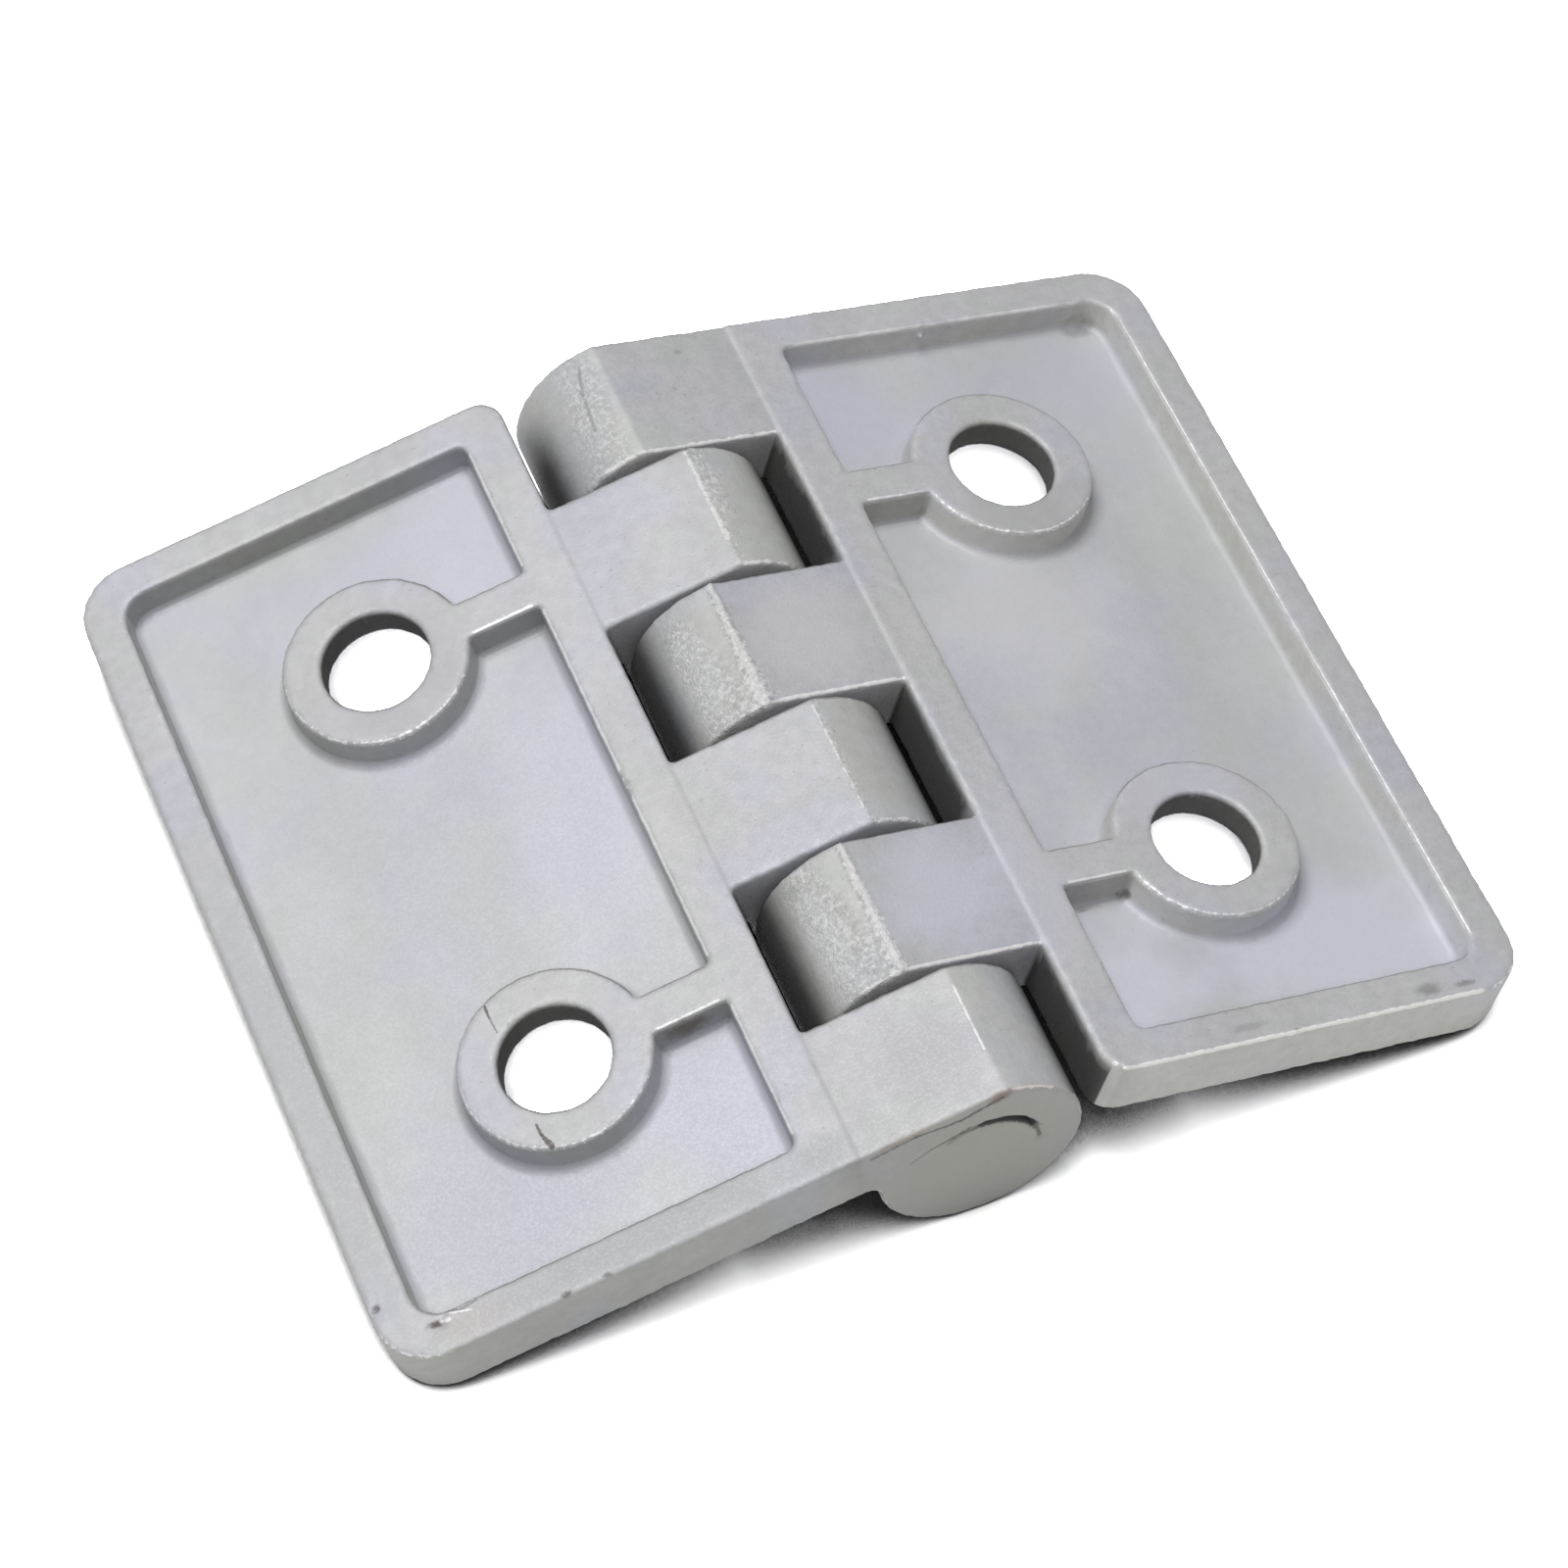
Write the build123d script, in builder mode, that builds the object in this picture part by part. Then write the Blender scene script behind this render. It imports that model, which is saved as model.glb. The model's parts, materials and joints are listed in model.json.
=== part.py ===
from build123d import *
import os
from math import asin, atan2, cos, hypot, sin, sqrt

# Folding door hinge lying on its barrel, back side up, with both leaves sagging onto the floor.
# The pin runs along Y. The two leaves are one casting, used twice and turned end for end.

# Barrel and pin
barrel_length = 75.0
barrel_radius = 8.1
knuckle_pitch = 12.8
knuckle_gap = 0.5
pin_radius = 4.5
pin_clearance = 0.04
pin_recess = 0.3
pin_chamfer = 0.5

# Leaf plate, with its reach and height measured from the pin axis
slot_clearance = 0.25
leaf_reach = 45.2
back_height = 7.6
plate_thickness = 5.5
knuckle_step = 0.15
outer_corner_radius = 4.5
free_corner_radius = 2.2
root_radius = 1.2
edge_chamfer = 0.25

# Lightening pocket in the back of the leaf
pocket_depth = 2.8
hinge_rim = 3.85
outer_rim = 3.3
end_rim = 3.3
pocket_outer_radius = 2.2
pocket_inner_radius = 0.7
pocket_draft = 3.0
floor_chamfer = 0.4

# Screw holes, countersunk from the front, with their bosses and ribs
hole_radius = 4.3
hole_to_pin = 25.4
hole_spacing = 38.4
countersink_radius = 7.0
countersink_angle = 90.0
boss_radius = 7.5
rib_width = 3.5

# Sizes worked out from those above
slot_edge = barrel_radius + slot_clearance
front_height = back_height - plate_thickness
bore_radius = pin_radius + pin_clearance
pin_length = barrel_length - 2 * pin_recess
half_length = barrel_length / 2
half_gap = knuckle_gap / 2
inner_length = knuckle_pitch - knuckle_gap
neck_reach = slot_edge + root_radius
root_reach = sqrt(barrel_radius**2 - front_height**2)
pocket_inner_edge = slot_edge + hinge_rim
pocket_width = leaf_reach - outer_rim - pocket_inner_edge
pocket_length = barrel_length - 2 * end_rim
rib_length = hole_to_pin - pocket_inner_edge

# The sag puts the front corner of each leaf on the floor that the barrel rests on
sag = asin(barrel_radius / hypot(leaf_reach, front_height)) + atan2(front_height, leaf_reach)
outward = (cos(sag), 0, -sin(sag))
toward_back = (sin(sag), 0, cos(sag))
pin_centre = (0, 0, barrel_radius)

# Planes of one leaf, with X out along the leaf and Y along the pin
leaf_frame = Plane(origin=pin_centre, x_dir=outward, z_dir=toward_back)
front_plane = leaf_frame.offset(front_height)
back_plane = leaf_frame.offset(back_height)
screw_plane = Plane(origin=front_plane.origin, x_dir=outward, z_dir=-front_plane.z_dir)
leaf_normal = Axis(pin_centre, toward_back)


def section_plane(y: float) -> Plane:
    """Section across the pin at y, with X out along the leaf and Y towards its back."""
    return Plane(origin=(0, y, barrel_radius), x_dir=outward, z_dir=(0, -1, 0))


def knuckle(far_end: float, length: float) -> Part:
    """One knuckle with its neck: a round flattened in line with the back of the plate."""
    with BuildPart() as body:
        with BuildSketch(section_plane(far_end)) as profile:
            Circle(barrel_radius)
            with Locations((0, front_height)):
                Rectangle(neck_reach, plate_thickness, align=(Align.MIN, Align.MIN))
            with Locations((0, back_height - knuckle_step)):
                Rectangle(
                    2 * neck_reach,
                    barrel_radius,
                    align=(Align.CENTER, Align.MIN),
                    mode=Mode.SUBTRACT,
                )
            root = profile.vertices().sort_by_distance((root_reach, front_height))[0]
            fillet(root, root_radius)
        extrude(amount=length)
        chamfer(faces().filter_by(Axis.Y).edges(), edge_chamfer)
    return body.part


# The first knuckle ends with the barrel and the other two fill every second pitch
knuckles = [
    knuckle(half_length, half_length - 2 * knuckle_pitch - half_gap),
    knuckle(knuckle_pitch - half_gap, inner_length),
    knuckle(-knuckle_pitch - half_gap, inner_length),
]

with BuildPart() as right_leaf:
    # Plate with two rounded outer corners and one beside the barrel
    with BuildSketch(front_plane) as plate_outline:
        with Locations((slot_edge, 0)):
            Rectangle(leaf_reach - slot_edge, barrel_length, align=(Align.MIN, Align.CENTER))
        fillet(plate_outline.vertices().group_by(Axis.X)[-1], outer_corner_radius)
        free_corner = plate_outline.vertices().group_by(Axis.X)[0].sort_by(Axis.Y)[0]
        fillet(free_corner, free_corner_radius)
    extrude(amount=plate_thickness)
    chamfer(faces().filter_by(back_plane).edges(), edge_chamfer)

    # Pocket that leaves a rim, a boss round each hole and a rib from each boss to the barrel
    with BuildSketch(back_plane) as pocket_outline:
        with Locations((pocket_inner_edge, 0)):
            Rectangle(pocket_width, pocket_length, align=(Align.MIN, Align.CENTER))
        fillet(pocket_outline.vertices().group_by(Axis.X)[-1], pocket_outer_radius)
        fillet(pocket_outline.vertices().group_by(Axis.X)[0], pocket_inner_radius)
        with GridLocations(0, hole_spacing, 1, 2):
            with Locations((hole_to_pin, 0)):
                Circle(boss_radius, mode=Mode.SUBTRACT)
                Rectangle(
                    2 * rib_length,
                    rib_width,
                    align=(Align.MAX, Align.CENTER),
                    mode=Mode.SUBTRACT,
                )
    extrude(amount=-pocket_depth, taper=pocket_draft, mode=Mode.SUBTRACT)

    # Screw holes
    with Locations(screw_plane):
        with GridLocations(0, hole_spacing, 1, 2):
            with Locations((hole_to_pin, 0)):
                CounterSinkHole(
                    hole_radius,
                    countersink_radius,
                    depth=2 * plate_thickness,
                    counter_sink_angle=countersink_angle,
                )

    # Broken edges round the pocket and the holes, and a bevel round the pocket floor
    leaf_levels = faces().filter_by(back_plane).sort_by(leaf_normal)
    chamfer(leaf_levels[-1].inner_wires().edges(), edge_chamfer)
    pocket_floor = faces().filter_by(back_plane).sort_by(leaf_normal)[1]
    chamfer(pocket_floor.edges(), floor_chamfer)

    # Three knuckles and the bore through them for the pin
    add(knuckles)
    with BuildSketch(section_plane(half_length)):
        Circle(bore_radius)
    extrude(amount=barrel_length, mode=Mode.SUBTRACT)
right_leaf.part.label = "right_leaf"

with BuildPart() as left_leaf:
    # The same casting turned end for end about the upright through the middle of the pin
    add(right_leaf.part, rotation=(0, 0, 180))
left_leaf.part.label = "left_leaf"

with BuildPart() as hinge_pin:
    # Plain pin, a little shorter than the barrel, with chamfered ends
    with BuildSketch(Plane(origin=(0, pin_length / 2, barrel_radius), z_dir=(0, -1, 0))):
        Circle(pin_radius)
    extrude(amount=pin_length)
    chamfer(hinge_pin.edges().filter_by(GeomType.CIRCLE), pin_chamfer)
hinge_pin.part.label = "hinge_pin"

os.makedirs("parts", exist_ok=True)
export_step(right_leaf.part, "parts/right_leaf.step")
export_step(left_leaf.part, "parts/left_leaf.step")
export_step(hinge_pin.part, "parts/hinge_pin.step")
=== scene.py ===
"""Folding door hinge: two die-cast leaves and their pin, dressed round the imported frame."""

from __future__ import annotations

import json
import logging
import math
from dataclasses import dataclass, field
from enum import Enum

import bpy
import numpy as np
from mathutils import Matrix, Vector


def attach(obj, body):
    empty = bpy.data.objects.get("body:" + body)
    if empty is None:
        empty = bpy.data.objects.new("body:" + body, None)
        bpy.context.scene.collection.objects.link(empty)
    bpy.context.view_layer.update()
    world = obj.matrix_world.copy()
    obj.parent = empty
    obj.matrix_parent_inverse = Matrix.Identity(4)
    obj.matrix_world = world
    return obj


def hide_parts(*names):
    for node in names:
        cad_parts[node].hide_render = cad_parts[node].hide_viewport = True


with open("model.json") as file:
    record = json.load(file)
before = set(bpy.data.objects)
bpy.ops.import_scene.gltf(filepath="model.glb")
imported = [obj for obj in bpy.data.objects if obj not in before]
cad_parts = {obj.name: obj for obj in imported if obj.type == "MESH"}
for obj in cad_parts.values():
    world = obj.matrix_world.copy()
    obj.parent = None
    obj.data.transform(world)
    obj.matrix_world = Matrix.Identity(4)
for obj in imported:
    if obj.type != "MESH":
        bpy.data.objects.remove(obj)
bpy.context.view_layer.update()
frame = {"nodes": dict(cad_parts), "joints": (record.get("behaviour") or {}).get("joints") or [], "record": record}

log = logging.getLogger("hinge")

MILLIMETRE = 0.001

Point = tuple[float, float, float]
Tone = tuple[float, float, float]


class Side(Enum):
    """The side of the pin that a leaf lies on, as its half turn about the upright."""

    RIGHT = 0.0
    LEFT = math.pi


class Zone(Enum):
    """A part of a casting with a tone of its own, as centre and half width in u, y and w."""

    POCKET_FLOOR = ((27.05, 0.0, 4.8), (14.95, 34.3, 0.4))
    KNUCKLE_FLAT = ((2.5, 0.0, 7.45), (5.85, 38.0, 0.35))
    KNUCKLE_ROUND = ((-6.2, 0.0, 0.0), (3.0, 37.2, 9.0))


# Mesh work


def select_only(piece: bpy.types.Object) -> None:
    """Selects one object, and nothing else, and makes it active.

    Args:
        piece: The object that the next operator works on.
    """
    for other in list(bpy.context.selected_objects):
        other.select_set(False)
    piece.select_set(True)
    bpy.context.view_layer.objects.active = piece


def apply_modifier(piece: bpy.types.Object, kind: str, **settings: object) -> None:
    """Adds one modifier to a piece and applies it.

    Args:
        piece: The object that is shaped.
        kind: The modifier's type.
        **settings: The modifier's own settings.
    """
    select_only(piece)
    bpy.ops.object.modifier_add(type=kind)
    modifier = piece.modifiers[-1]
    for name, value in settings.items():
        setattr(modifier, name, value)
    bpy.ops.object.modifier_apply(modifier=modifier.name)


def points_of(piece: bpy.types.Object) -> np.ndarray:
    """Reads a mesh's points.

    Args:
        piece: The object whose mesh is read.

    Returns:
        One row of three coordinates for each point.
    """
    flat = np.empty(len(piece.data.vertices) * 3, np.float32)
    piece.data.vertices.foreach_get("co", flat)
    return flat.reshape(-1, 3)


def join(pieces: list[bpy.types.Object], into: bpy.types.Object) -> None:
    """Joins several objects into one.

    Args:
        pieces: The objects that are joined.
        into: The object that keeps its name.
    """
    select_only(into)
    for piece in pieces:
        piece.select_set(True)
    bpy.ops.object.join()


def neighbour_mean(edges: np.ndarray, values: np.ndarray) -> np.ndarray:
    """Averages a value over the neighbours of each point of a mesh.

    Args:
        edges: Two point numbers for each edge.
        values: One row, or one number, for each point.

    Returns:
        The mean over each point's neighbours, in the shape of values.
    """
    count = len(values)
    columns = values.reshape(count, -1)
    degree = np.bincount(edges.ravel(), minlength=count)
    total = np.empty(columns.shape)
    for k in range(columns.shape[1]):
        near = np.bincount(edges[:, 0], columns[edges[:, 1], k], count)
        total[:, k] = near + np.bincount(edges[:, 1], columns[edges[:, 0], k], count)
    return (total / np.maximum(degree, 1)[:, None]).reshape(values.shape)


def smooth_step(values: np.ndarray, low: float, high: float) -> np.ndarray:
    """Turns values into a soft mask.

    Args:
        values: The numbers to test.
        low: Where the mask starts.
        high: Where the mask is full.

    Returns:
        Numbers from 0 to 1.
    """
    share = np.clip((values - low) / (high - low), 0.0, 1.0)
    return share * share * (3.0 - 2.0 * share)


# Shader work


class NodeBench:
    """Adds nodes to one shader tree and links them."""

    def __init__(self, tree: bpy.types.NodeTree) -> None:
        """Takes the tree that is worked on.

        Args:
            tree: A material's or a group's node tree.
        """
        self.tree = tree

    def add(self, kind: str, settings: dict | None = None, **sockets: object) -> bpy.types.Node:
        """Adds one node.

        Args:
            kind: The node's type.
            settings: Properties of the node itself.
            **sockets: Inputs by name, each a value or an output to link, with _ for a space.

        Returns:
            The new node.
        """
        node = self.tree.nodes.new(kind)
        for name, value in (settings or {}).items():
            setattr(node, name, value)
        for name, value in sockets.items():
            self.feed(node.inputs[name.replace("_", " ")], value)
        return node

    def feed(self, socket: bpy.types.NodeSocket, value: object) -> None:
        """Links an output to a socket, or sets the socket's value.

        Args:
            socket: The input that is fed.
            value: An output socket or a plain value.
        """
        if isinstance(value, bpy.types.NodeSocket):
            self.tree.links.new(value, socket)
        else:
            socket.default_value = value

    def math(self, operation: str, *terms: object) -> bpy.types.NodeSocket:
        """Adds a Math node.

        Args:
            operation: What the node does.
            *terms: Its inputs, each a number or an output.

        Returns:
            The node's result.
        """
        node = self.add("ShaderNodeMath", {"operation": operation})
        for socket, term in zip(node.inputs, terms):
            self.feed(socket, term)
        return node.outputs[0]

    def blend(self, share: object, under: object, over: object, way: str = "MIX") -> bpy.types.NodeSocket:
        """Adds a colour Mix node.

        Args:
            share: How much of the upper colour shows.
            under: The lower colour.
            over: The upper colour.
            way: The node's blend type.

        Returns:
            The mixed colour.
        """
        node = self.add("ShaderNodeMix", {"data_type": "RGBA", "blend_type": way})
        for index, value in ((0, share), (6, under), (7, over)):
            self.feed(node.inputs[index], value)
        return node.outputs[2]

    def noise(self, place: object, size: float, detail: float = 2.0) -> bpy.types.NodeSocket:
        """Adds a noise of one grain size.

        Args:
            place: The position that it reads.
            size: The size of a grain, in the position's unit.
            detail: How many finer layers it has.

        Returns:
            The noise, from 0 to 1.
        """
        node = self.add("ShaderNodeTexNoise", Vector=place, Scale=1.0 / size, Detail=detail)
        return node.outputs["Fac"]

    def ramp(self, value: object, low: float, high: float, start: float = 0.0, end: float = 1.0) -> bpy.types.NodeSocket:
        """Maps a range softly onto another.

        Args:
            value: The number that is mapped.
            low: Where the range starts.
            high: Where it ends.
            start: The result at low.
            end: The result at high.

        Returns:
            The mapped number.
        """
        node = self.add("ShaderNodeMapRange", {"interpolation_type": "SMOOTHSTEP"})
        for socket, number in zip(node.inputs, (value, low, high, start, end)):
            self.feed(socket, number)
        return node.outputs[0]


class EffectGroup(Enum):
    """The shader effects that several finishes share."""

    GRAIN = "casting grain"
    # A ragged corner line: the rubbed corners with painted highlight, and the painted shade on corners facing away.
    WEAR = "worn edge"
    GRIME = "corner grime"
    SPOT = "ragged spot"
    LINE = "ragged line"


def new_group(effect: EffectGroup, inputs: dict[str, str], outputs: list[str]) -> tuple[NodeBench, bpy.types.Node, bpy.types.Node]:
    """Starts a node group.

    Args:
        effect: The effect that the group holds.
        inputs: Socket type by input name.
        outputs: The names of its outputs, all plain numbers.

    Returns:
        The bench for the group's tree, its input node and its output node.
    """
    tree = bpy.data.node_groups.new(effect.value, "ShaderNodeTree")
    for name, kind in inputs.items():
        tree.interface.new_socket(name, in_out="INPUT", socket_type=kind)
    for name in outputs:
        tree.interface.new_socket(name, in_out="OUTPUT", socket_type="NodeSocketFloat")
    bench = NodeBench(tree)
    return bench, bench.add("NodeGroupInput"), bench.add("NodeGroupOutput")


def grain_group() -> None:
    """Builds the fine grain of a bare casting: a soft grain and sparse dark pores."""
    bench, source, sink = new_group(
        EffectGroup.GRAIN,
        {"Place": "NodeSocketVector", "Size": "NodeSocketFloat"},
        ["Grain", "Pores"],
    )
    scale = bench.math("DIVIDE", 1.0, source.outputs["Size"])
    coarse = bench.add("ShaderNodeTexNoise", Vector=source.outputs["Place"], Scale=scale, Detail=3.0, Roughness=0.65)
    finer = bench.math("MULTIPLY", scale, 0.55)
    pores = bench.add("ShaderNodeTexNoise", Vector=source.outputs["Place"], Scale=finer, Detail=1.0)
    bench.feed(sink.inputs["Grain"], bench.ramp(coarse.outputs["Fac"], 0.3, 0.7))
    bench.feed(sink.inputs["Pores"], bench.ramp(pores.outputs["Fac"], 0.7, 0.78))


def ragged_edge_group() -> None:
    """Builds a ragged line along a corner, used for rubbed corners with painted highlights and for painted shade on
    corners.
    """
    bench, source, sink = new_group(
        EffectGroup.WEAR,
        {"Place": "NodeSocketVector", "Edge": "NodeSocketFloat", "Raggedness": "NodeSocketFloat"},
        ["Wear"],
    )
    torn = bench.noise(source.outputs["Place"], 0.6, 3.0)
    patchy = bench.noise(source.outputs["Place"], 5.0, 1.0)
    loss = bench.math("MULTIPLY", bench.math("ADD", torn, patchy), source.outputs["Raggedness"])
    left = bench.math("SUBTRACT", source.outputs["Edge"], loss)
    bench.feed(sink.inputs["Wear"], bench.ramp(left, 0.0, 0.45))


def grime_group() -> None:
    """Builds the dull dirt that stays in inner corners."""
    bench, source, sink = new_group(
        EffectGroup.GRIME,
        {"Place": "NodeSocketVector", "Hollow": "NodeSocketFloat"},
        ["Grime"],
    )
    patchy = bench.ramp(bench.noise(source.outputs["Place"], 2.5, 3.0), 0.35, 0.65, 0.35, 1.0)
    bench.feed(sink.inputs["Grime"], bench.math("MULTIPLY", source.outputs["Hollow"], patchy))


def spot_group() -> None:
    """Builds one stain or rubbed place with a ragged rim."""
    bench, source, sink = new_group(
        EffectGroup.SPOT,
        {
            "Place": "NodeSocketVector",
            "Centre": "NodeSocketVector",
            "Reach": "NodeSocketVector",
            "Grain": "NodeSocketFloat",
        },
        ["Spot"],
    )
    offset = bench.add("ShaderNodeVectorMath", {"operation": "SUBTRACT"})
    bench.feed(offset.inputs[0], source.outputs["Place"])
    bench.feed(offset.inputs[1], source.outputs["Centre"])
    share = bench.add("ShaderNodeVectorMath", {"operation": "DIVIDE"})
    bench.feed(share.inputs[0], offset.outputs[0])
    bench.feed(share.inputs[1], source.outputs["Reach"])
    length = bench.add("ShaderNodeVectorMath", {"operation": "LENGTH"})
    bench.feed(length.inputs[0], share.outputs[0])
    size = bench.math("DIVIDE", 1.0, source.outputs["Grain"])
    noise = bench.add("ShaderNodeTexNoise", Vector=source.outputs["Place"], Scale=size, Detail=3.0)
    torn = bench.math("MULTIPLY", noise.outputs["Fac"], 0.9)
    bench.feed(sink.inputs["Spot"], bench.ramp(bench.math("ADD", length.outputs["Value"], torn), 1.5, 0.7))


def vector_math(bench: NodeBench, operation: str, first: object, second: object) -> bpy.types.Node:
    """Adds a Vector Math node.

    Args:
        bench: The bench of the tree.
        operation: What the node does.
        first: Its first vector.
        second: Its second vector.

    Returns:
        The node.
    """
    node = bench.add("ShaderNodeVectorMath", {"operation": operation})
    bench.feed(node.inputs[0], first)
    bench.feed(node.inputs[1], second)
    return node


def line_group() -> None:
    """Builds one scratch, rubbed line, painted highlight line or line of painted shade, with ragged sides, which may
    widen towards its end.
    """
    bench, source, sink = new_group(
        EffectGroup.LINE,
        {
            "Place": "NodeSocketVector",
            "Start": "NodeSocketVector",
            "Run": "NodeSocketVector",
            "Width": "NodeSocketFloat",
            "Widening": "NodeSocketFloat",
            "Raggedness": "NodeSocketFloat",
            "Grain": "NodeSocketFloat",
        },
        ["Line"],
    )
    offset = vector_math(bench, "SUBTRACT", source.outputs["Place"], source.outputs["Start"])
    along = vector_math(bench, "DOT_PRODUCT", offset.outputs[0], source.outputs["Run"])
    length = vector_math(bench, "DOT_PRODUCT", source.outputs["Run"], source.outputs["Run"])
    share = bench.add("ShaderNodeClamp", Value=bench.math("DIVIDE", along.outputs["Value"], length.outputs["Value"]))
    reached = bench.add("ShaderNodeVectorMath", {"operation": "SCALE"}, Scale=share.outputs[0])
    bench.feed(reached.inputs[0], source.outputs["Run"])
    gap = vector_math(bench, "DISTANCE", offset.outputs[0], reached.outputs[0])
    width = bench.math("MULTIPLY_ADD", share.outputs[0], source.outputs["Widening"], source.outputs["Width"])
    size = bench.math("DIVIDE", 1.0, source.outputs["Grain"])
    torn = bench.add("ShaderNodeTexNoise", Vector=source.outputs["Place"], Scale=size, Detail=2.0)
    sway = bench.math("MULTIPLY", bench.math("SUBTRACT", torn.outputs["Fac"], 0.5), source.outputs["Raggedness"])
    edge = bench.math("ADD", bench.math("DIVIDE", gap.outputs["Value"], width), sway)
    bench.feed(sink.inputs["Line"], bench.ramp(edge, 1.0, 0.5))


def add_group(bench: NodeBench, effect: EffectGroup, **sockets: object) -> bpy.types.Node:
    """Places a shared effect in a material.

    Args:
        bench: The bench of the material's tree.
        effect: The effect that is placed.
        **sockets: Its inputs by name.

    Returns:
        The group node.
    """
    return bench.add("ShaderNodeGroup", {"node_tree": bpy.data.node_groups[effect.value]}, **sockets)


@dataclass(frozen=True)
class Stain:
    """A tinted or rubbed place on a casting, in bench millimetres."""

    centre: Point
    reach: Point
    tone: Tone
    strength: float
    grain: float = 0.7


@dataclass(frozen=True)
class Line:
    """A scratch, crack, rubbed line, painted highlight line or line of painted shade on a casting, in bench
    millimetres.
    """

    start: Point
    end: Point
    width: float
    tone: Tone
    strength: float
    widening: float = 0.0
    raggedness: float = 1.0
    grain: float = 0.5


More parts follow.
